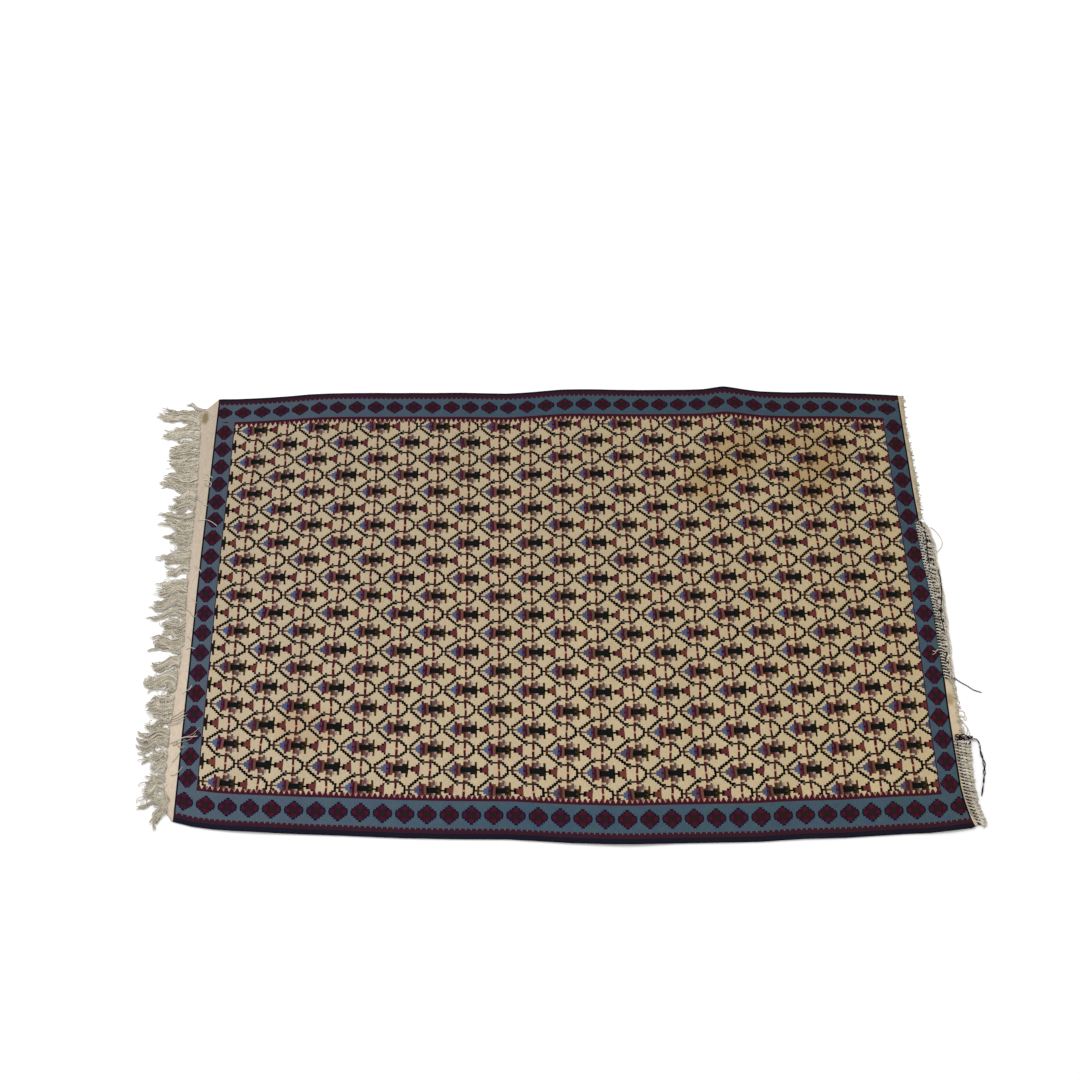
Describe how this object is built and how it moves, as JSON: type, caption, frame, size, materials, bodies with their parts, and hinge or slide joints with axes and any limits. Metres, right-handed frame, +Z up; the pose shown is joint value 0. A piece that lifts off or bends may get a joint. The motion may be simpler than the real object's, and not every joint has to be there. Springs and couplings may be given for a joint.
{
  "type": "flat-woven kilim rug",
  "caption": "Flat-woven Persian kilim lying flat, with a geometric hooked lattice, lozenge borders, a knotted fringe at one end and worn looped warp ends at the other.",
  "frame": {"origin": "bottom centre of the rug with its fringe, on the floor; the loose cord isn't counted", "axes": "+X along the warps, from the fringed end to the worn end; +Y towards the far selvedge; +Z up from the floor"},
  "size_m": [2.0124, 1.2754, 0.0116],
  "materials": {
    "kilim_weave": "flat-woven wool wefts on cotton warps, matt, with an ivory ground and indigo, madder, olive and black figures",
    "warp_cotton": "undyed cotton warp ends, aged to a greyish ivory, tangled, knotted and matt",
    "dark_wool": "dark wool yarn, two-ply, matt and slightly fuzzy"
  },
  "bodies": {
    "root": {"kilim_cloth": "kilim_weave", "warp_fringe": "warp_cotton", "warp_braid": "warp_cotton", "warp_loops": "warp_cotton", "yarn_knot": "dark_wool", "loose_cord": "dark_wool"}
  },
  "joints": []
}
